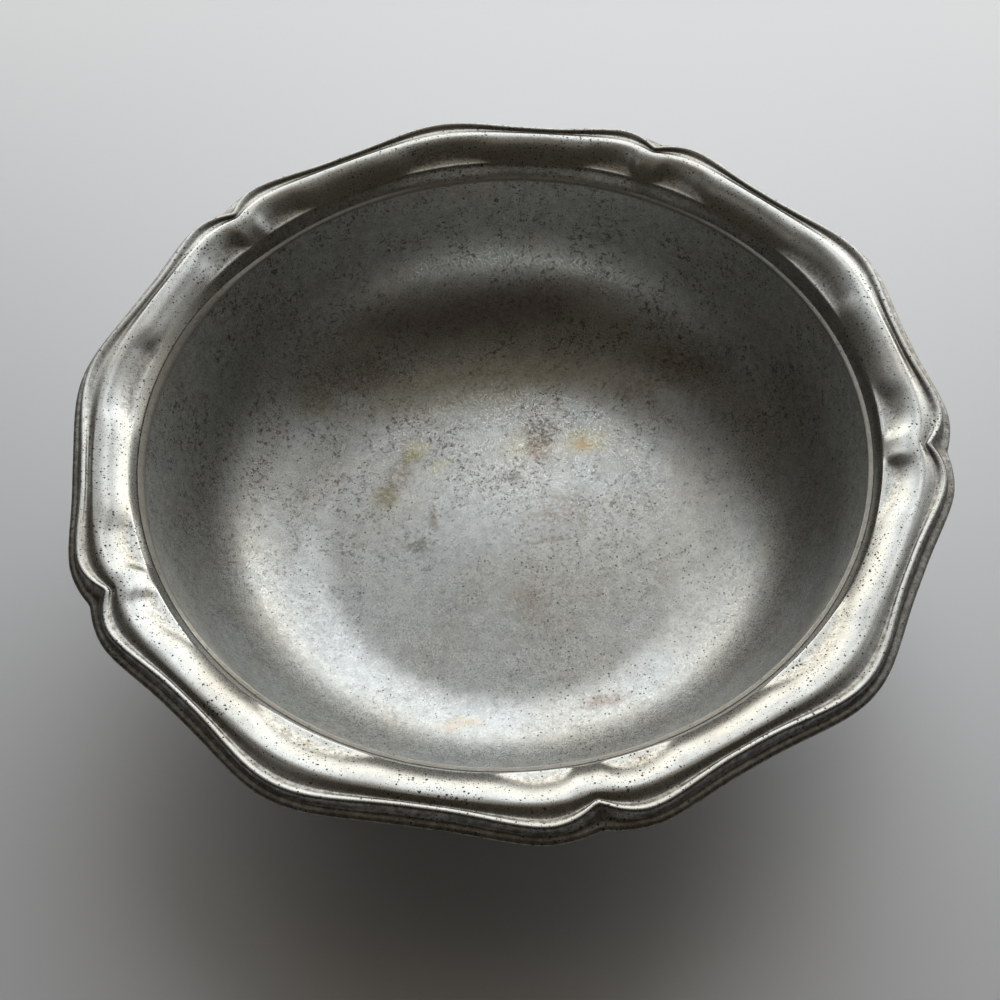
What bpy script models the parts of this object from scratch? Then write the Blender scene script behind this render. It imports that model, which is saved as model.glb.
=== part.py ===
"""Pewter bowl with a scalloped, moulded border. Metres, +Z up.

The bowl is three castings soldered together: a turned well with a narrow flange at its mouth,
a five-lobed border that lies on the flange, and a foot ring under the floor.
The origin is on the bowl's axis, in the plane that the foot ring stands on.
One of the border's five notches points along -Y, so X = 0 is a mirror plane.
"""
import math

import bpy

# Well, turned inside and out
MOUTH_RADIUS = 0.0987
WELL_DEPTH = 0.0544
WALL_LEAN = math.radians(9.0)
FILLET_RADIUS = 0.0427
FLOOR_RISE = 0.0011
METAL = 0.0022
LEDGE = 0.0013
LEDGE_ROUND = 0.0005
FLANGE_WIDTH = 0.0058
FLANGE_THICKNESS = 0.0020
FLANGE_ROUND = 0.0005

# Foot ring
FOOT_HEIGHT = 0.0048
FOOT_TREAD = 0.0032
FOOT_SEAT = 0.0058
FOOT_INSET = 0.0024
FOOT_BEAD = 0.0014
FOOT_ROUND = 0.0004

# Solder gap between the castings
SEAT_GAP = 0.0003

# Border: how far the lip lies outside the well's mouth
LOBES = 5
LIP_NOTCH = 0.0194
LIP_LOBE = 0.0216
LIP_VALLEY = 0.0179
LIP_CORNER = 0.0222

# Border: how far each crest and the cove lie inside the lip or the ridge
RIDGE_AT_NOTCH = 0.0059
RIDGE_AT_LOBE = 0.0038
RIDGE_AT_VALLEY = 0.0035
RIDGE_AT_CORNER = 0.0037
CROWN_INSET = 0.0099
COVE_INSET = 0.0027

# Border: the land round the mouth, and how far the leaves reach and rise past its inner edge
LAND_START = 0.0032
LEAF_AT_LOBE = 0.0039
LEAF_AT_CORNER = 0.0042
LEAF_GAP = 0.0020
LEAF_SLOPE = 0.36
LEAF_STEP = 0.0003

# Border: angles from a notch to the lobe beside it and to the valley past that lobe
LOBE_ANGLE = math.radians(5.75)
VALLEY_ANGLE = math.radians(18.5)
VALLEY_BREADTH = 1.25

# Border: heights above its seat on the flange
RIDGE_HEIGHT = 0.0083
CROWN_HEIGHT = 0.0080
COVE_HEIGHT = 0.0073
LAND_HEIGHT = 0.0037
LIP_HEIGHT = 0.0053
LIP_THICKNESS = 0.0018
LIP_WIDTH = 0.0022
BORDER_METAL = 0.0030
UNDERCUT = 0.0009

# Fineness of the facets
TURN_STEPS = 80
LOBE_STEPS = 13
FILLET_STEPS = 10
FLOOR_STEPS = 6
ROLL_STEPS = 5
SHARP_ANGLE = math.radians(38.0)


def clear_scene():
    for item in list(bpy.data.objects):
        bpy.data.objects.remove(item, do_unlink=True)


def make_collection(name):
    collection = bpy.data.collections.new(name)
    bpy.context.scene.collection.children.link(collection)
    return collection


def metal_material(name, colour, roughness):
    material = bpy.data.materials.new(name)
    material.use_nodes = True
    shader = material.node_tree.nodes["Principled BSDF"]
    shader.inputs["Base Color"].default_value = (*colour, 1.0)
    shader.inputs["Metallic"].default_value = 1.0
    shader.inputs["Roughness"].default_value = roughness
    return material


def place(mesh, name, material, collection, height):
    """Put a finished mesh into the scene at its height on the bowl's axis."""
    mesh.shade_smooth()
    mesh.set_sharp_from_angle(angle=SHARP_ANGLE)
    mesh.materials.append(material)
    item = bpy.data.objects.new(name, mesh)
    item.location = (0.0, 0.0, height)
    collection.objects.link(item)
    return item


def turned(name, profile, closed):
    """Mesh edges of a half section, which a Screw modifier turns about the Z axis."""
    mesh = bpy.data.meshes.new(name)
    count = len(profile)
    edges = [(i, i + 1) for i in range(count - 1)]
    if closed:
        edges.append((count - 1, 0))
    mesh.from_pydata([(r, 0.0, z) for r, z in profile], edges, [])
    return mesh


def add_screw(item):
    screw = item.modifiers.new("Turn", "SCREW")
    screw.axis = "Z"
    screw.angle = math.tau
    screw.steps = TURN_STEPS
    screw.render_steps = TURN_STEPS
    screw.use_merge_vertices = True
    screw.merge_threshold = 0.0001
    screw.use_smooth_shade = True


def arc(centre_r, centre_z, radius, start, end, steps):
    """Points on a circular arc in the half section, with angles measured from outwards to up."""
    points = []
    for i in range(steps + 1):
        angle = start + (end - start) * i / steps
        points.append((centre_r + radius * math.cos(angle), centre_z + radius * math.sin(angle)))
    return points


def well_sizes():
    """Sizes of the well that follow from its mouth, depth, lean and fillet."""
    lean = math.sin(WALL_LEAN)
    fillet = min(FILLET_RADIUS, 0.95 * WELL_DEPTH / (1.0 - lean))
    wall_foot = fillet * (1.0 - lean)
    wall_foot_radius = MOUTH_RADIUS - (WELL_DEPTH - wall_foot) * math.tan(WALL_LEAN)
    floor_radius = wall_foot_radius - fillet * math.cos(WALL_LEAN)
    return fillet, floor_radius


def floor_rise(radius, floor_radius):
    """Height of the gently domed floor above its edge."""
    return FLOOR_RISE * 0.5 * (1.0 + math.cos(math.pi * radius / floor_radius))


def well_profile():
    """Half section of the well: along the floor, up the wall, round the flange and back below.

    Heights are measured from the floor's edge, where the fillet starts.
    """
    fillet, floor_radius = well_sizes()
    slope = math.tan(WALL_LEAN)
    inner = []
    under = []
    for i in range(FLOOR_STEPS):
        radius = floor_radius * i / FLOOR_STEPS
        rise = floor_rise(radius, floor_radius)
        inner.append((radius, rise))
        under.append((radius, rise - METAL))
    quarter = -0.5 * math.pi
    inner += arc(floor_radius, fillet, fillet, quarter, -WALL_LEAN, FILLET_STEPS)
    mouth = [
        (MOUTH_RADIUS - LEDGE_ROUND * slope, WELL_DEPTH - LEDGE_ROUND),
        (MOUTH_RADIUS + LEDGE_ROUND, WELL_DEPTH),
    ]
    rim_radius = MOUTH_RADIUS + FLANGE_WIDTH
    rim_foot = WELL_DEPTH - FLANGE_THICKNESS
    flange = [
        (rim_radius - FLANGE_ROUND, WELL_DEPTH),
        (rim_radius, WELL_DEPTH - FLANGE_ROUND),
        (rim_radius, rim_foot + FLANGE_ROUND),
        (rim_radius - FLANGE_ROUND, rim_foot),
    ]
    outside = arc(floor_radius, fillet, fillet + METAL, -WALL_LEAN, quarter, FILLET_STEPS)
    outer_mouth = outside[0][0] + (rim_foot - outside[0][1]) * slope
    flange.append((outer_mouth, rim_foot))
    return inner + mouth + flange + outside + under[::-1]


def foot_profile():
    """Half section of the foot ring, from its seat down the outer side and up the inner side."""
    floor_radius = well_sizes()[1]
    top_outer = floor_radius - FOOT_INSET
    top_inner = top_outer - FOOT_SEAT
    tread_outer = top_outer - 0.3 * (FOOT_SEAT - FOOT_TREAD)
    tread_inner = tread_outer - FOOT_TREAD
    cove_height = FOOT_HEIGHT - FOOT_BEAD
    cove_depth = 0.6 * FOOT_ROUND
    return [
        (top_outer, FOOT_HEIGHT),
        (top_outer - cove_depth, FOOT_HEIGHT - 0.35 * cove_height),
        (tread_outer - cove_depth, FOOT_BEAD + 0.25 * cove_height),
        (tread_outer, FOOT_BEAD),
        (tread_outer, FOOT_ROUND),
        (tread_outer - FOOT_ROUND, 0.0),
        (tread_inner + FOOT_ROUND, 0.0),
        (tread_inner, FOOT_ROUND),
        (top_inner, FOOT_HEIGHT),
    ]


def ease(start, end, share):
    """Smooth step from one size to another, level at both ends."""
    return start + (end - start) * 0.5 * (1.0 - math.cos(math.pi * share))


def scallop(angle, notch, lobe, valley, corner):
    """Reach of a line of the moulding at an angle from the nearest notch.

    The line is level at the lobe, valley and corner, and makes a sharp V at the notch. The valleys
    are broader than the crests.
    """
    half_pitch = math.pi / LOBES
    if angle <= LOBE_ANGLE:
        return lobe - (lobe - notch) * (1.0 - angle / LOBE_ANGLE) ** 2
    if angle <= VALLEY_ANGLE:
        share = (angle - LOBE_ANGLE) / (VALLEY_ANGLE - LOBE_ANGLE)
        return ease(lobe, valley, share ** (1.0 / VALLEY_BREADTH))
    share = (angle - VALLEY_ANGLE) / (half_pitch - VALLEY_ANGLE)
    return ease(valley, corner, share ** VALLEY_BREADTH)


def border_section(angle):
    """Section of the border at an angle from the nearest notch, as a closed loop.

    It runs from the seat's inner edge up the shoulder, out over the leaf, the roll, the cove, the
    ridge and the lip, and back underneath. Radii are measured from the axis.
    """
    lip = MOUTH_RADIUS + scallop(angle, LIP_NOTCH, LIP_LOBE, LIP_VALLEY, LIP_CORNER)
    crest_insets = (RIDGE_AT_NOTCH, RIDGE_AT_LOBE, RIDGE_AT_VALLEY, RIDGE_AT_CORNER)
    ridge = lip - scallop(angle, *crest_insets)
    crown = lip - CROWN_INSET
    cove = max(ridge - COVE_INSET, 0.5 * (ridge + crown))
    seat_start = MOUTH_RADIUS + LEDGE
    seat_end = MOUTH_RADIUS + FLANGE_WIDTH
    land = MOUTH_RADIUS + LAND_START
    leaf = scallop(angle, -LEAF_GAP, LEAF_AT_LOBE, -LEAF_GAP, LEAF_AT_CORNER)
    leaf = max(leaf, 0.0)
    roll_foot = land + leaf + 0.2 * LEDGE
    leaf_top = LAND_HEIGHT + LEAF_SLOPE * leaf
    roll_level = leaf_top + LEAF_STEP

    section = [(seat_start, 0.0)]
    for i in range(1, 4):
        turn = 0.5 * math.pi * i / 3
        r = land - (land - seat_start) * math.cos(turn)
        section.append((r, LAND_HEIGHT * math.sin(turn)))
    for share in (0.5, 0.96):
        rise = (leaf_top - LAND_HEIGHT) * share ** 2
        section.append((land + (roll_foot - land) * share, LAND_HEIGHT + rise))
    for i in range(ROLL_STEPS + 1):
        share = 1.0 - i / ROLL_STEPS
        drop = (CROWN_HEIGHT - roll_level) * share ** 2
        section.append((crown + (roll_foot - crown) * share, CROWN_HEIGHT - drop))
    face = lip - LIP_WIDTH
    lip_top = LIP_HEIGHT + 0.2 * LIP_THICKNESS
    section += [
        (0.5 * (crown + cove), 0.45 * CROWN_HEIGHT + 0.55 * COVE_HEIGHT),
        (cove, COVE_HEIGHT),
        (0.3 * cove + 0.7 * ridge, 0.3 * COVE_HEIGHT + 0.7 * RIDGE_HEIGHT),
        (ridge, RIDGE_HEIGHT),
        (0.6 * ridge + 0.4 * face, 0.7 * RIDGE_HEIGHT + 0.3 * lip_top),
        (face, lip_top),
        (lip - 0.3 * LIP_THICKNESS, LIP_HEIGHT),
        (lip, LIP_HEIGHT - 0.4 * LIP_THICKNESS),
        (lip - 0.35 * LIP_THICKNESS, LIP_HEIGHT - LIP_THICKNESS),
        (face, LIP_HEIGHT - LIP_THICKNESS),
        (crown, CROWN_HEIGHT - BORDER_METAL),
        (max(seat_end, roll_foot) + UNDERCUT, 0.7 * CROWN_HEIGHT - BORDER_METAL),
        (seat_end + 0.5 * UNDERCUT, 0.0),
    ]
    return section


def border_mesh(name):
    """Loft of the border through its sections, closed all the way round."""
    half_pitch = math.pi / LOBES
    half = [half_pitch * (i / LOBE_STEPS) ** 1.2 for i in range(LOBE_STEPS + 1)]
    offsets = [-a for a in half[:0:-1]] + half[:-1]
    points = []
    for lobe in range(LOBES):
        notch = -0.5 * math.pi + lobe * math.tau / LOBES
        for offset in offsets:
            angle = notch + offset
            for r, z in border_section(abs(offset)):
                points.append((r * math.cos(angle), r * math.sin(angle), z))
    rings = LOBES * len(offsets)
    size = len(points) // rings
    faces = []
    for i in range(rings):
        here = i * size
        there = (i + 1) % rings * size
        for j in range(size):
            k = (j + 1) % size
            faces.append((here + j, here + k, there + k, there + j))
    mesh = bpy.data.meshes.new(name)
    mesh.from_pydata(points, [], faces)
    return mesh


def build():
    clear_scene()
    bowl = make_collection("pewter_bowl")

    foot = place(
        turned("foot_ring", foot_profile(), True),
        "foot_ring",
        metal_material("pewter_foot", (0.47, 0.46, 0.44), 0.42),
        bowl,
        0.0,
    )
    add_screw(foot)

    floor_level = FOOT_HEIGHT + SEAT_GAP + METAL
    well = place(
        turned("bowl_well", well_profile(), False),
        "bowl_well",
        metal_material("pewter_well", (0.55, 0.55, 0.54), 0.30),
        bowl,
        floor_level,
    )
    add_screw(well)

    place(
        border_mesh("scalloped_border"),
        "scalloped_border",
        metal_material("pewter_border", (0.60, 0.59, 0.56), 0.34),
        bowl,
        floor_level + WELL_DEPTH + SEAT_GAP,
    )


build()
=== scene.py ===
import math

import bmesh
import bpy
import numpy
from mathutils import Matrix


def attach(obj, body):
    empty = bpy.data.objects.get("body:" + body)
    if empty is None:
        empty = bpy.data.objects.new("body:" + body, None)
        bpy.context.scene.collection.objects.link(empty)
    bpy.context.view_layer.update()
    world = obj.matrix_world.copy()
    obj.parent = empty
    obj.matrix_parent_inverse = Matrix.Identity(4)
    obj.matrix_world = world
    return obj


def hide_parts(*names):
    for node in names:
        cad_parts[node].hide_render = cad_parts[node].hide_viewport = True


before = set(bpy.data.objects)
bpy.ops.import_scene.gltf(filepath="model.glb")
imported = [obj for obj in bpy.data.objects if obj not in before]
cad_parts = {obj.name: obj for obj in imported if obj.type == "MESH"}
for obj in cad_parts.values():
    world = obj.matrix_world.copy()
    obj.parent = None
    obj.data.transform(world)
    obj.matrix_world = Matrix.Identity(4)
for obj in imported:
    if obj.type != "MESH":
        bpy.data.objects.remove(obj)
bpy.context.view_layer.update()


# The well is turned from cast pewter: a floor that rises a little at its middle, a wide curve and
# a steep wall, then a narrow ledge and the flange that carries the border. It stands on the foot
# ring, and all of it is one casting.
MOUTH = 0.0987
WELL_DEPTH = 0.0544
WALL_LEAN = math.radians(9.0)
WELL_CURVE = 0.0427
FLOOR_CROWN = 0.0011
WALL = 0.0022
FOOT_TOP = 0.0048
SOLDER = 0.0003
FLANGE = 0.0058
FLANGE_DEEP = 0.0020
FLANGE_TOP = 0.0003
FLANGE_CHAMFER = 0.0004
NECK_ROUND = 0.0010
LEDGE = 0.0013
LEDGE_ROUND = 0.0006
LEDGE_RISE = math.radians(7.0)
SOLDER_SIDE = math.radians(172.0)
SOLDER_REACH = math.radians(48.0)
SOLDER_FADE = math.radians(26.0)
SOLDER_SLOPE = 1.5
SHARP_EDGE = math.radians(50.0)
WELL_AROUND = 288
FLOOR_STEPS = 24
CURVE_STEPS = 36
WALL_STEPS = 10


def sweep(across, up, radius, start, end, steps):
    """Points along an arc of the half section."""
    points = []
    for i in range(steps + 1):
        turn = start + (end - start) * i / steps
        points.append((across + radius * math.cos(turn), up + radius * math.sin(turn)))
    return points


def spin(work, steps):
    """Spin the half section in a mesh once round the bowl's axis."""
    bmesh.ops.spin(
        work, geom=work.verts[:] + work.edges[:], cent=(0, 0, 0), axis=(0, 0, 1),
        angle=math.tau, steps=steps, use_merge=True,
    )
    bmesh.ops.remove_doubles(work, verts=work.verts, dist=0.000001)


def into_piece(work, name):
    """Close a mesh under construction and make it an object of the scene."""
    bmesh.ops.recalc_face_normals(work, faces=work.faces)
    mesh = bpy.data.meshes.new(name)
    work.to_mesh(mesh)
    work.free()
    mesh.shade_smooth()
    mesh.set_sharp_from_angle(angle=SHARP_EDGE)
    piece = bpy.data.objects.new(name, mesh)
    bpy.context.scene.collection.objects.link(piece)
    return piece


def turn_on_lathe(name, half_section, closed, steps):
    """Turn a half section, open or closed, about the bowl's axis."""
    work = bmesh.new()
    points = [work.verts.new((r, 0.0, z)) for r, z in half_section]
    for a, b in zip(points, points[1:]):
        work.edges.new((a, b))
    if closed:
        work.edges.new((points[-1], points[0]))
    spin(work, steps)
    return into_piece(work, name)


def solder_fill(heading):
    """How far solder fills the ledge's corner, from 0 to 1: only round the left side."""
    aside = abs((heading - SOLDER_SIDE + math.pi) % math.tau - math.pi)
    share = min(max((SOLDER_REACH - aside) / SOLDER_FADE, 0.0), 1.0)
    return share * share * (3.0 - 2.0 * share)


floor_level = FOOT_TOP + SOLDER + WALL
mouth_level = floor_level + WELL_DEPTH
wall_foot = WELL_CURVE * (1.0 - math.sin(WALL_LEAN))
wall_foot_radius = MOUTH - (WELL_DEPTH - wall_foot) * math.tan(WALL_LEAN)
floor_edge = wall_foot_radius - WELL_CURVE * math.cos(WALL_LEAN)
curve_level = floor_level + WELL_CURVE
down = -0.5 * math.pi

inside = []
below = []
for i in range(FLOOR_STEPS):
    r = floor_edge * i / FLOOR_STEPS
    rise = FLOOR_CROWN * 0.5 * (1.0 + math.cos(math.pi * r / floor_edge))
    inside.append((r, floor_level + rise))
    below.append((r, floor_level + rise - WALL))
inside += sweep(floor_edge, curve_level, WELL_CURVE, down, -WALL_LEAN, CURVE_STEPS)
wall_start = inside[-1]
wall_end = (MOUTH, mouth_level - LEDGE_ROUND)
for i in range(1, WALL_STEPS):
    share = i / WALL_STEPS
    inside.append((
        wall_start[0] + (wall_end[0] - wall_start[0]) * share,
        wall_start[1] + (wall_end[1] - wall_start[1]) * share,
    ))
ledge = sweep(
    MOUTH + LEDGE_ROUND, mouth_level - LEDGE_ROUND, LEDGE_ROUND,
    math.pi - WALL_LEAN, 0.5 * math.pi + LEDGE_RISE, 8,
)
ledge_end = (MOUTH + LEDGE, ledge[-1][1] + (MOUTH + LEDGE - ledge[-1][0]) * math.tan(LEDGE_RISE))
flange_edge = MOUTH + FLANGE
flange_foot = mouth_level - FLANGE_DEEP
flange = [
    ledge_end,
    (MOUTH + LEDGE + 0.00002, mouth_level - FLANGE_TOP),
    (flange_edge - FLANGE_CHAMFER, mouth_level - FLANGE_TOP),
    (flange_edge, mouth_level - FLANGE_TOP - FLANGE_CHAMFER),
    (flange_edge, flange_foot + FLANGE_CHAMFER),
    (flange_edge - FLANGE_CHAMFER, flange_foot),
]
outside = sweep(floor_edge, curve_level, WELL_CURVE + WALL, -WALL_LEAN, down, CURVE_STEPS)
neck = outside[0][0] + (flange_foot - outside[0][1]) * math.tan(WALL_LEAN)
flange += sweep(neck + NECK_ROUND, flange_foot - NECK_ROUND, NECK_ROUND, 0.5 * math.pi, math.pi, 4)
well = turn_on_lathe("well", inside + ledge + flange + outside + below[::-1], False, WELL_AROUND)
for point in well.data.vertices:
    past = math.hypot(point.co.x, point.co.y) - MOUTH
    if 0.0 < past < LEDGE + 0.00001 and point.co.z > mouth_level - LEDGE_ROUND:
        point.co.z += SOLDER_SLOPE * past * solder_fill(math.atan2(point.co.y, point.co.x))


class Nodes:
    """Adds nodes to one node tree, and links or sets their inputs."""

    def __init__(self, tree):
        self.tree = tree

    def add(self, kind, sources=(), **settings):
        """Add a node of a kind, with its settings, and with its inputs linked or set."""
        node = self.tree.nodes.new("ShaderNode" + kind)
        for setting, value in settings.items():
            setattr(node, setting, value)
        for place, source in dict(sources).items():
            if isinstance(source, bpy.types.NodeSocket):
                self.tree.links.new(source, node.inputs[place])
            else:
                node.inputs[place].default_value = source
        return node

    def blend(self, share, first, second):
        """Colour between two others."""
        return self.add("Mix", {0: share, 6: first, 7: second}, data_type="RGBA").outputs[2]

    def between(self, value, low, high, start=0.0, end=1.0):
        """Ramp that is start below low and end above high."""
        reach = {0: value, 1: low, 2: high, 3: start, 4: end}
        return self.add("MapRange", reach, interpolation_type="SMOOTHSTEP").outputs[0]

    def number(self, operation, *values):
        """Outcome of an operation on numbers."""
        return self.add("Math", dict(enumerate(values)), operation=operation).outputs[0]

    def times(self, first, second):
        return self.number("MULTIPLY", first, second)

    def plus(self, first, second):
        return self.number("ADD", first, second)

    def vector(self, operation, *values):
        """Outcome of an operation on vectors."""
        return self.add("VectorMath", dict(enumerate(values)), operation=operation).outputs["Vector"]

    def scaled(self, vector, size):
        return self.add("VectorMath", {0: vector, 3: size}, operation="SCALE").outputs["Vector"]

    def length(self, vector):
        return self.add("VectorMath", {0: vector}, operation="LENGTH").outputs["Value"]


class Pewter(Nodes):
    """Old pewter: mottled grey, dark pits and specks, fine turning or polishing lines.

    Its colour and rough are the metal's own, to which a piece may add stains, dirt or painted shade.
    """

    def __init__(self, name, clean, tarnish, polish, dull, grain, pits, pit_size, brush):
        self.material = bpy.data.materials.new(name)
        self.material.use_nodes = True
        super().__init__(self.material.node_tree)
        self.shader = self.tree.nodes["Principled BSDF"]
        self.shader.inputs["Metallic"].default_value = 1.0
        self.place = self.add("TexCoord").outputs["Object"]
        self.x, self.y, self.z = self.add("SeparateXYZ", {0: self.place}).outputs

        mottle = self.cloud(1500.0, 2.0, 0.65)
        grit = self.cloud(3600.0, 1.0)
        pit = self.pitted(pits, pit_size)
        tone = self.times(self.mottled(mottle, grit, grain), self.between(pit, 0.0, 1.0, 1.0, 0.12))
        wide = self.between(self.cloud(26.0, 3.0, 0.6), 0.38, 0.66)
        self.colour = self.scaled(self.blend(wide, clean, tarnish), tone)
        self.rough = self.plus(self.between(grit, 0.36, 0.46, polish, dull), self.times(pit, 0.2))

        level = self.plus(self.times(self.turned_lines(), brush), self.times(mottle, 0.12))
        bump = self.add("Bump", {"Distance": 0.00002, "Height": level, "Strength": 1.0})
        self.feed("Normal", bump.outputs[0])

    def feed(self, socket, source):
        """Link a source to one of the shader's sockets."""
        self.tree.links.new(source, self.shader.inputs[socket])

    def cloud(self, scale, detail=3.0, rough=0.55, where=None):
        settings = {"Scale": scale, "Detail": detail, "Roughness": rough}
        return self.add("TexNoise", {"Vector": where or self.place, **settings}).outputs["Fac"]

    def mottled(self, mottle, grit, grain):
        """Fine mottle like the surface of a worn casting, in wider patches."""
        fine = self.plus(self.times(mottle, 0.5), self.times(grit, 0.5))
        patch = self.cloud(330.0, 2.0, 0.6)
        return self.times(
            self.between(fine, 0.36, 0.64, 1.0 - grain, 1.0 + grain),
            self.between(patch, 0.3, 0.7, 1.0 - 0.6 * grain, 1.0 + 0.6 * grain),
        )

    def pitted(self, pits, pit_size):
        """Small dark hollows of two sizes, crowded in some places."""
        crowd = self.between(self.cloud(45.0, 3.0, 0.65), 0.38, 0.66, 0.65, 1.0)
        holes = []
        for scale in (1000.0, 1900.0):
            cell = self.add("TexVoronoi", {"Vector": self.place, "Scale": scale})
            luck = self.add("SeparateColor", {0: cell.outputs["Color"]}).outputs[0]
            size = self.times(self.between(luck, 1.0 - pits, 1.0, 0.0, pit_size), crowd)
            gap = self.number("SUBTRACT", cell.outputs["Distance"], size)
            inside_hole = self.between(gap, -0.07, 0.03, 1.0, 0.0)
            holes.append(self.times(inside_hole, self.between(size, 0.02, 0.06)))
        return self.number("MAXIMUM", *holes)

    def turned_lines(self):
        """Lines left by turning and polishing, round the axis."""
        flat = self.add("CombineXYZ", {0: self.x, 1: self.y}).outputs[0]
        heading = self.scaled(self.vector("NORMALIZE", flat), 0.0045)
        level = self.plus(self.length(flat), self.times(self.z, 0.8))
        line = self.vector("ADD", heading, self.add("CombineXYZ", {2: level}).outputs[0])
        return self.cloud(3200.0, 3.0, 0.6, line)


# Stains on the inside, and two broad bands of painted shade on the far side of the curve: where each
# one lies, how wide it is, its colour and strength, and how much it is broken into specks.
OCHRE = (0.80, 0.56, 0.28, 1.0)
STRAW = (0.74, 0.69, 0.50, 1.0)
OLIVE = (0.37, 0.33, 0.20, 1.0)
BROWN = (0.34, 0.26, 0.20, 1.0)
SOOT = (0.15, 0.13, 0.12, 1.0)
FAR_WALL_SHADE_MAUVE = (0.34, 0.27, 0.28, 1.0)
LEDGE_GREY = (0.40, 0.38, 0.34, 1.0)
STAINS_AND_SHADES = (
    ((0.0300, 0.0292, 0.0080), (0.0088, 0.0058, 0.005), STRAW, 0.60, 0.4),
    ((0.0120, 0.0322, 0.0080), (0.0100, 0.0075, 0.005), STRAW, 0.40, 0.4),
    ((-0.0240, 0.0372, 0.0080), (0.0046, 0.0046, 0.005), STRAW, 0.75, 0.4),
    ((-0.0172, 0.0295, 0.0080), (0.0044, 0.0030, 0.005), STRAW, 0.55, 0.5),
    ((0.0296, 0.0284, 0.0080), (0.0046, 0.0032, 0.005), OCHRE, 0.80, 0.55),
    ((0.0165, 0.0352, 0.0080), (0.0060, 0.0074, 0.005), SOOT, 0.90, 0.85),
    ((0.0150, 0.0290, 0.0080), (0.0042, 0.0066, 0.005), BROWN, 0.85, 0.75),
    ((-0.0259, 0.0344, 0.0080), (0.0040, 0.0040, 0.005), OLIVE, 0.90, 0.6),
    ((-0.0305, 0.0290, 0.0080), (0.0048, 0.0062, 0.005), BROWN, 0.75, 0.85),
    ((-0.0354, 0.0201, 0.0080), (0.0052, 0.0056, 0.005), OLIVE, 0.92, 0.6),
    ((-0.0229, 0.0081, 0.0080), (0.0016, 0.0034, 0.005), BROWN, 0.75, 0.4),
    ((0.0168, 0.0038, 0.0080), (0.0130, 0.0095, 0.005), BROWN, 0.55, 0.75),
    ((0.0095, -0.0055, 0.0080), (0.0130, 0.0007, 0.005), BROWN, 0.60, 0.5),
    ((-0.0285, -0.0004, 0.0080), (0.0040, 0.0030, 0.005), SOOT, 0.60, 0.85),
    ((0.0040, 0.0200, 0.0080), (0.0040, 0.0040, 0.005), SOOT, 0.70, 0.9),
    ((0.0011, -0.0248, 0.0080), (0.0060, 0.0066, 0.005), BROWN, 0.60, 0.85),
    ((0.0170, -0.0613, 0.0082), (0.0085, 0.0032, 0.005), BROWN, 0.75, 0.6),
    ((-0.0249, -0.0615, 0.0090), (0.0090, 0.0026, 0.005), OCHRE, 0.40, 0.6),
    # painted shade: a broad olive band at the far edge of the floor
    ((0.0000, 0.0580, 0.0085), (0.0500, 0.0110, 0.008), OLIVE, 0.55, 0.5),
    # painted shade: a broad mauve band on the far curve of the wall
    ((0.0060, 0.0800, 0.0210), (0.0500, 0.0090, 0.010), FAR_WALL_SHADE_MAUVE, 0.75, 0.3),
    ((-0.0400, 0.0660, 0.0150), (0.0180, 0.0070, 0.010), BROWN, 0.75, 0.7),
    ((-0.0539, 0.0578, 0.0152), (0.0090, 0.0080, 0.008), OLIVE, 0.80, 0.6),
    ((0.0583, 0.0495, 0.0134), (0.0200, 0.0120, 0.010), BROWN, 0.60, 0.6),
    ((0.0760, 0.0438, 0.0235), (0.0120, 0.0100, 0.010), SOOT, 0.50, 0.7),
)
STRAY = 0.007
OCHRE_METALLIC = 0.35

turned = Pewter(
    "well_pewter", clean=(0.67, 0.695, 0.70, 1.0), tarnish=(0.66, 0.655, 0.63, 1.0),
    polish=0.18, dull=0.42, grain=0.16, pits=0.45, pit_size=0.33, brush=0.3,
)

# dark dots, in crowds, and more of them on the far half
dots = turned.between(turned.cloud(620.0, 5.0, 0.85), 0.535, 0.585)
crowds = turned.between(turned.cloud(75.0, 3.0, 0.65), 0.42, 0.55)
north = turned.between(turned.y, -0.035, 0.035, 0.4, 1.0)
dot_share = turned.times(turned.times(dots, crowds), turned.times(north, 0.9))
colour = turned.blend(dot_share, turned.colour, SOOT)

# stains and painted shade with a ragged edge, broken into specks
stray = turned.add("TexNoise", {"Vector": turned.place, "Scale": 170.0, "Detail": 4.0}).outputs["Color"]
stray = turned.scaled(turned.vector("SUBTRACT", stray, (0.5, 0.5, 0.5)), STRAY)
ragged = turned.vector("ADD", turned.place, stray)
specks = turned.between(turned.cloud(700.0, 5.0, 0.85), 0.475, 0.54)
ochre_shares = []
for middle, width, shade, strength, broken in STAINS_AND_SHADES:
    offset = turned.vector("DIVIDE", turned.vector("SUBTRACT", ragged, middle), width)
    near = turned.between(turned.length(offset), 0.35, 1.25, strength, 0.0)
    share = turned.times(near, turned.between(specks, 0.0, 1.0, 1.0 - broken, 1.0))
    colour = turned.blend(share, colour, shade)
    if shade is OCHRE:
        ochre_shares.append(share)

# the ledge at the mouth is greyer and duller, and the top of the wall is duller too
ledge_share = turned.between(turned.z, mouth_level - 0.0012, mouth_level - 0.0007, 0.0, 0.75)
worn_wall = turned.between(turned.z, 0.032, 0.048, 1.0, 1.35)
rough = turned.plus(turned.times(turned.rough, worn_wall), turned.times(ledge_share, 0.15))
turned.feed("Base Color", turned.blend(ledge_share, colour, LEDGE_GREY))
turned.feed("Metallic", turned.between(turned.plus(*ochre_shares), 0.0, 1.0, 1.0, OCHRE_METALLIC))
turned.feed("Roughness", rough)
well.data.materials.append(turned.material)
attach(well, "root")
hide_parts("bowl_well")


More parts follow.
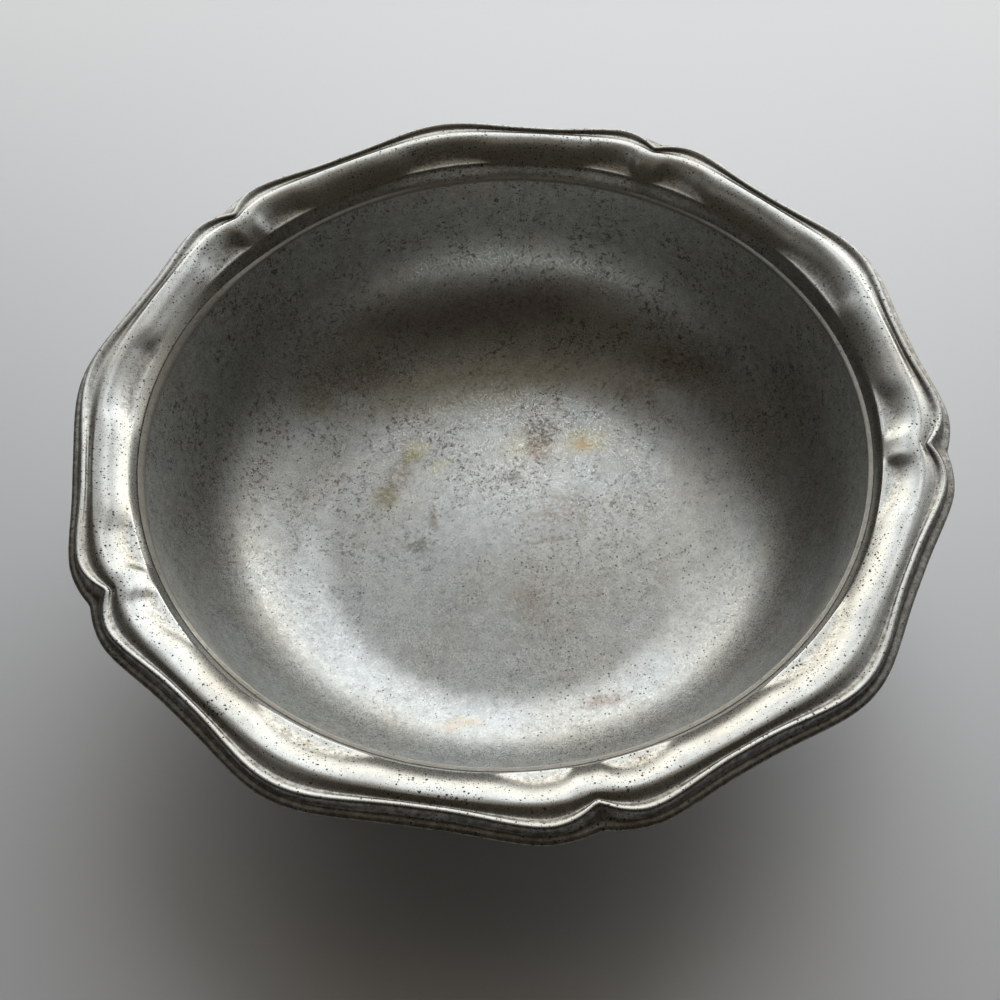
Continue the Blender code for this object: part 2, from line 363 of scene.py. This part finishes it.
# The border is cast pewter, soldered on the well's flange. Five lobes run round it, and from the
# mouth outwards its section has a shoulder, a flat with leaf-shaped facets, a broad roll, a cove,
# a ridge and a thin lip.
LOBES = 5
LOBE_ANGLE = math.radians(5.75)
VALLEY_ANGLE = math.radians(18.5)
VALLEY_BREADTH = 1.25
NOTCH_ROUND = 0.0054772
NOTCH_SHIFT = math.radians(0.9)
BORDER_AROUND = 720
LAND_REACH = 0.0032
LAND_HEIGHT = 0.0037
CROWN_HEIGHT = 0.0080
COVE_HEIGHT = 0.0073
COVE_PLACE = 0.57
RIDGE_HEIGHT = 0.0082
RIDGE_SLOPE = 0.42
RIDGE_INNER = (0.0007, 0.00014)
RIDGE_OUTER = (0.0005, 0.0003)
FLANK_TOP_SLOPES = (-1.3, -1.5)
FLANK_FOOT = (0.0019, 0.0002)
LIP_HEIGHT = 0.0053
LIP_SLOPES = (-0.2, -0.15)
LIP_ROUND = 0.0006
LIP_DROP = 0.0007
LIP_UNDERSIDE = (0.0020, 0.0036)
CROWN_UNDERSIDE = 0.0040
SHOE_INSET = 0.0040
SHOE_FLARE = (0.0009, 0.0020)
SHOE_TOE = 0.0004
INNER_GAP = 0.00008
SOLDER_LIFT = 0.0003
LAND_DROP = 0.0004

# Sizes that change round the rim: at a notch, on the lobe beside it, in the valley and at the
# corner, which is halfway to the next notch. The lip has a reach of its own at each corner.
LIP_REACH = (0.0194, 0.0212, 0.0179)
CORNER_REACH = (0.0226, 0.0221, 0.0214, 0.0211, 0.0220)
RIDGE_INSET = (0.0056, 0.0031, 0.0035, 0.0030)
CROWN_INSET = (0.0081, 0.0085, 0.0065, 0.0087)
LEAF_WIDTH = (-0.0021, 0.0038, -0.0006, 0.0042)
LEAF_SOFTNESS = 0.0010
LEAF_LEAST = 0.0003
OPEN_LEAF = 0.0030

# Slopes of the section where the leaf-shaped flat is closed and where it is open.
SHOULDER_SLOPE = 1.6
LAND_SLOPES = (1.2, 0.8)
LEAF_SLOPES = (1.2, 0.07)
LEAF_RISES = (1.05, 0.38)
ROLL_SLOPES = (1.0, 0.7)

# Stations along the section, from its inner edge outwards, and the share of dirt and painted shade at
# some of them: dirt and painted shade lie on the shoulder, in the cove and outside the ridge.
LAND_STATION = 11
LEAF_MIDDLE = 16.5
LEAF_HALF = 4.5
RIDGE_STATION = 50
DIRT_AND_SHADE = (
    (0, 0.60), (8, 0.50), (11, 0.10), (18, 0.10), (20, 0.22), (23, 0.03), (31, 0.03), (35, 0.15),
    (40, 0.65), (46, 0.95), (49, 0.40), (51, 0.0), (53, 0.05), (55, 0.85), (59, 0.80), (63, 0.70),
    (70, 0.70), (76, 0.75),
)
DIRT_AND_SHADE_BROWN = (0.11, 0.09, 0.07, 1.0)
LEAF_BROWN = (0.27, 0.24, 0.18, 1.0)


def along_lobe(angle, notch, lobe, valley, corner):
    """Size that changes round the rim, at an angle from the nearest notch."""
    if angle <= LOBE_ANGLE:
        return lobe - (lobe - notch) * (1.0 - angle / LOBE_ANGLE) ** 2
    if angle <= VALLEY_ANGLE:
        share = ((angle - LOBE_ANGLE) / (VALLEY_ANGLE - LOBE_ANGLE)) ** (1.0 / VALLEY_BREADTH)
        return lobe + (valley - lobe) * 0.5 * (1.0 - math.cos(math.pi * share))
    half_pitch = math.pi / LOBES
    share = ((angle - VALLEY_ANGLE) / (half_pitch - VALLEY_ANGLE)) ** VALLEY_BREADTH
    return valley + (corner - valley) * 0.5 * (1.0 - math.cos(math.pi * share))


def mixed(share, closed, opened):
    """Size between that of a closed leaf and that of an open one."""
    return closed + (opened - closed) * share


def bend(start, end, start_slope, end_slope, steps):
    """Points after start up to end on a smooth curve with the slopes given at its ends."""
    points = []
    width = end[0] - start[0]
    for i in range(1, steps + 1):
        t = i / steps
        z = (
            start[1] * (2 * t ** 3 - 3 * t ** 2 + 1)
            + width * start_slope * (t ** 3 - 2 * t ** 2 + t)
            + end[1] * (3 * t ** 2 - 2 * t ** 3)
            + width * end_slope * (t ** 3 - t ** 2)
        )
        points.append((start[0] + width * t, z))
    return points


def rim_section(angle, corner_reach, fill):
    """Closed section of the border at an angle from the nearest notch, and how open its leaf is."""
    angle = math.hypot(angle, NOTCH_ROUND)
    seat = mouth_level + SOLDER
    lip = MOUTH + along_lobe(angle, *LIP_REACH, corner_reach)
    ridge = lip - along_lobe(angle, *RIDGE_INSET)
    crown = lip - along_lobe(angle, *CROWN_INSET)
    cove = crown + COVE_PLACE * (ridge - crown)
    land = MOUTH + LAND_REACH
    leaf = along_lobe(angle, *LEAF_WIDTH)
    leaf = 0.5 * (leaf + math.hypot(leaf, LEAF_SOFTNESS))
    open_leaf = min(leaf / OPEN_LEAF, 1.0)
    open_leaf = open_leaf * open_leaf * (3.0 - 2.0 * open_leaf)
    land_level = seat + LAND_HEIGHT + SOLDER_LIFT * fill
    land_level += LAND_DROP * (2.0 * fill - 1.0) * (1.0 - open_leaf)
    land_slope = mixed(open_leaf * (1.0 - fill), *LAND_SLOPES)
    closed_rise = LEAF_RISES[0] * (LEAF_LEAST + leaf)
    leaf_rise = mixed(open_leaf, closed_rise, LEAF_LEAST + LEAF_RISES[1] * leaf)
    leaf_end = (land + LEAF_LEAST + leaf, land_level + leaf_rise)
    leaf_slope = mixed(open_leaf, *LEAF_SLOPES)
    roll_slope = mixed(open_leaf, *ROLL_SLOPES)
    inner = MOUTH + LEDGE + INNER_GAP
    inner_top = ledge_end[1] - 0.00003 + SOLDER_SLOPE * LEDGE * fill
    lip_level = seat + LIP_HEIGHT
    ridge_level = seat + RIDGE_HEIGHT
    bead_start = (ridge - RIDGE_INNER[0], ridge_level - RIDGE_INNER[1])
    flank_top = (ridge + RIDGE_OUTER[0], ridge_level - RIDGE_OUTER[1])
    flank_foot = (lip - FLANK_FOOT[0], lip_level + FLANK_FOOT[1])

    # the shoulder, the leaf-shaped flat, the roll and the cove
    points = [(inner, mouth_level - 0.0002), (inner + 0.00002, inner_top)]
    points += bend(points[-1], (land, land_level), SHOULDER_SLOPE, land_slope, 10)
    points += bend(points[-1], leaf_end, leaf_slope, roll_slope, 8)
    points += bend(points[-1], (crown, seat + CROWN_HEIGHT), roll_slope, 0.0, 12)
    points += bend(points[-1], (cove, seat + COVE_HEIGHT), 0.0, 0.0, 9)

    # the ridge, its outer flank and the lip
    points += bend(points[-1], bead_start, 0.0, RIDGE_SLOPE, 10)
    points += bend(points[-1], (ridge, ridge_level), RIDGE_SLOPE, 0.0, 3)
    points += bend(points[-1], flank_top, 0.0, FLANK_TOP_SLOPES[0], 3)
    points += bend(points[-1], flank_foot, FLANK_TOP_SLOPES[1], LIP_SLOPES[0], 6)
    points += bend(points[-1], (lip - LIP_ROUND, lip_level), *LIP_SLOPES, 3)
    points += sweep(
        lip - LIP_ROUND, lip_level - LIP_DROP, LIP_ROUND, 0.4 * math.pi, -0.45 * math.pi, 6
    )

    # the underside and the seat on the flange
    points.append((lip - LIP_UNDERSIDE[0], seat + LIP_UNDERSIDE[1]))
    points.append((crown, seat + CROWN_UNDERSIDE))
    points.append((max(flange_edge, crown - SHOE_INSET) + SHOE_FLARE[0], seat + SHOE_FLARE[1]))
    points.append((flange_edge + SHOE_TOE, seat))
    return points, open_leaf


work = bmesh.new()
station = work.verts.layers.float.new("station")
dirt_and_shade = work.verts.layers.float.new("dirt_and_shade")
leaf = work.verts.layers.float.new("leaf")
first_section = rim_section(LOBE_ANGLE, CORNER_REACH[0], 0.0)[0]
ring = []
for i, (r, z) in enumerate(first_section):
    point = work.verts.new((r, 0.0, z))
    point[station] = float(i)
    ring.append(point)
for a, b in zip(ring, ring[1:] + ring[:1]):
    work.edges.new((a, b))
spin(work, BORDER_AROUND)
pitch = math.tau / LOBES
dirt_and_shade_stations, dirt_and_shade_shares = zip(*DIRT_AND_SHADE)
sections = {}
for point in work.verts:
    heading = math.atan2(point.co.y, point.co.x)
    from_notch = (heading + 0.5 * math.pi) % math.tau
    from_notch -= NOTCH_SHIFT * 0.5 * (1.0 + math.cos(LOBES * from_notch))
    lobe = int(from_notch // pitch) % LOBES
    offset = from_notch % pitch
    angle = round(min(offset, pitch - offset), 6)
    fill = round(solder_fill(heading), 3)
    if (angle, lobe, fill) not in sections:
        sections[angle, lobe, fill] = rim_section(angle, CORNER_REACH[lobe], fill)
    points, open_leaf = sections[angle, lobe, fill]
    step = int(round(point[station]))
    r, z = points[step]
    point.co = (r * math.cos(heading), r * math.sin(heading), z)
    # painted shade: the shoulder is darker on the far side and the cove darker on the near side, and
    # solder holds little of this dirt and shade
    point[dirt_and_shade] = numpy.interp(step, dirt_and_shade_stations, dirt_and_shade_shares)
    if step <= LAND_STATION:
        point[dirt_and_shade] *= (0.6 + 0.4 * math.sin(heading)) * (1.0 - 0.8 * fill)
    elif step <= RIDGE_STATION:
        point[dirt_and_shade] *= 0.75 - 0.25 * math.sin(heading)
    point[leaf] = open_leaf * max(1.0 - abs(step - LEAF_MIDDLE) / LEAF_HALF, 0.0) ** 0.5
border = into_piece(work, "border")

cast = Pewter(
    "border_pewter", clean=(0.60, 0.61, 0.60, 1.0), tarnish=(0.54, 0.53, 0.50, 1.0),
    polish=0.19, dull=0.30, grain=0.09, pits=0.90, pit_size=0.37, brush=0.2,
)
dirt_and_shade_share = cast.add("Attribute", attribute_name="dirt_and_shade").outputs["Fac"]
leaf_share = cast.add("Attribute", attribute_name="leaf").outputs["Fac"]
smears = cast.between(cast.cloud(600.0, 4.0, 0.7), 0.36, 0.60, 0.45, 1.0)
specks = cast.between(cast.cloud(1000.0, 4.0, 0.75), 0.47, 0.56)
# dirt and painted shade darken the border's colour towards brown
colour = cast.blend(cast.times(dirt_and_shade_share, smears), cast.colour, DIRT_AND_SHADE_BROWN)
colour = cast.blend(cast.times(cast.times(leaf_share, specks), 0.75), colour, LEAF_BROWN)
cast.feed("Base Color", colour)
cast.feed("Roughness", cast.plus(cast.rough, cast.times(dirt_and_shade_share, 0.12)))
border.data.materials.append(cast.material)
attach(border, "root")
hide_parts("scalloped_border")


# The foot is a low turned ring of the same metal, soldered under the floor. It lifts the bowl off
# the table and is dull where it stands.
FOOT_INSET = 0.0024
FOOT_SEAT = 0.0058
FOOT_TAPER = 0.00078
TREAD = 0.0032
TREAD_ROUND = 0.0004
FOOT_AROUND = 192

seat_out = floor_edge - FOOT_INSET
tread_out = seat_out - FOOT_TAPER
tread_in = tread_out - TREAD
foot_section = [
    (seat_out, FOOT_TOP),
    (seat_out - 0.0002, FOOT_TOP - 0.0012),
    (tread_out - 0.0002, 0.0022),
    (tread_out, 0.0014),
    (tread_out, TREAD_ROUND),
    (tread_out - TREAD_ROUND, 0.0),
    (tread_in + TREAD_ROUND, 0.0),
    (tread_in, TREAD_ROUND),
    (seat_out - FOOT_SEAT, FOOT_TOP),
]
foot = turn_on_lathe("foot", foot_section, True, FOOT_AROUND)
worn = Pewter(
    "foot_pewter", clean=(0.50, 0.49, 0.47, 1.0), tarnish=(0.42, 0.40, 0.37, 1.0),
    polish=0.32, dull=0.50, grain=0.14, pits=0.5, pit_size=0.3, brush=0.8,
)
worn.feed("Base Color", worn.colour)
worn.feed("Roughness", worn.rough)
foot.data.materials.append(worn.material)
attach(foot, "root")
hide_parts("foot_ring")


# The bowl stands on a wide pale table. It isn't part of the bowl, and has a soft sheen that takes
# up some of the light of the windows.
TABLE_HALF = 3.0

work = bmesh.new()
bmesh.ops.create_grid(work, x_segments=2, y_segments=2, size=TABLE_HALF)
table = into_piece(work, "table")
paint = bpy.data.materials.new("table_paint")
paint.use_nodes = True
shader = paint.node_tree.nodes["Principled BSDF"]
shader.inputs["Base Color"].default_value = (0.65, 0.66, 0.685, 1.0)
shader.inputs["Roughness"].default_value = 0.42
shader.inputs["Metallic"].default_value = 0.44
shader.inputs["Specular IOR Level"].default_value = 0.8
table.data.materials.append(paint)


# Soft daylight comes from wide windows behind the bowl: for bands of height in degrees, how
# bright it is at headings 30 degrees apart, and its tint. Little comes from overhead, and none
# from behind the camera.
ROOM_SHADE = {0: 0.045, 1: 0.038, 2: 0.028}
FIRST_PANE = 15.0
PANE_PITCH = 30.0
PANE_HALF = 15.0
PANE_BLUR = 12.0
BAND_BLUR = 4.0
WINDOWS = (
    (0.0, 28.0, (0.50, 2.70, 1.80, 2.15, 0.0, 0.0), (1.02, 1.00, 0.92)),
    (28.0, 42.0, (0.35, 1.40, 1.60, 1.45, 0.0, 0.0), (0.96, 1.00, 1.02)),
    (42.0, 56.0, (0.50, 0.35, 1.80, 0.60, 0.1, 0.0), (0.98, 1.00, 1.00)),
    (56.0, 70.0, (0.20, 0.24, 0.30, 0.18, 0.0, 0.25), (1.00, 1.00, 0.95)),
    (70.0, 120.0, (0.12, 0.12, 0.12, 0.12, 0.12, 0.12), (1.20, 1.00, 0.75)),
)

world = bpy.data.worlds.new("room")
bpy.context.scene.world = world
world.use_nodes = True
room = Nodes(world.node_tree)


def fade(value, middle, reach, start, end):
    """Smooth change from start to end round a middle angle, in degrees."""
    return room.between(value, math.radians(middle - reach), math.radians(middle + reach), start, end)


gaze = room.add("SeparateXYZ", {0: room.add("TexCoord").outputs["Generated"]}).outputs
flat = room.vector("NORMALIZE", room.add("CombineXYZ", {0: gaze[0], 1: gaze[1]}).outputs[0])
height = room.number("ARCSINE", gaze[2])
light = room.add("CombineXYZ", ROOM_SHADE).outputs[0]
for low, high, panes, tint in WINDOWS:
    band = room.times(
        fade(height, low, BAND_BLUR, 0.0, 1.0), fade(height, high, BAND_BLUR, 1.0, 0.0)
    )
    for step, strength in enumerate(panes):
        if strength == 0.0:
            continue
        turn = math.radians(FIRST_PANE + PANE_PITCH * step)
        aim = {0: flat, 1: (math.cos(turn), math.sin(turn), 0.0)}
        aside = room.add("VectorMath", aim, operation="DOT_PRODUCT").outputs["Value"]
        aside = room.number("ARCCOSINE", aside)
        share = room.times(fade(aside, PANE_HALF, PANE_BLUR, strength, 0.0), band)
        light = room.vector("ADD", light, room.scaled(tint, share))
room.tree.links.new(light, room.tree.nodes["Background"].inputs["Color"])
bpy.context.scene.view_settings.view_transform = "Standard"


# A broad soft lamp from the same side lights the table, and doesn't show in the metal.
glow = bpy.data.lights.new("window_glow", "SUN")
glow.energy = 1.65
glow.angle = math.radians(50)
glow.color = (0.98, 1.0, 1.02)
lamp = bpy.data.objects.new("window_glow", glow)
lamp.rotation_euler = (math.radians(-50), 0.0, math.radians(-24))
lamp.visible_glossy = False
bpy.context.scene.collection.objects.link(lamp)


# The camera looks down over the front edge, as the photograph does.
lens = bpy.data.cameras.new("view")
lens.lens = 46.394
lens.sensor_width = 36.0
view = bpy.data.objects.new("view", lens)
view.location = (-0.02879, -0.21182, 0.34641)
view.rotation_euler = [math.radians(a) for a in (33.651, 1.834, -9.924)]
bpy.context.scene.collection.objects.link(view)
bpy.context.scene.camera = view
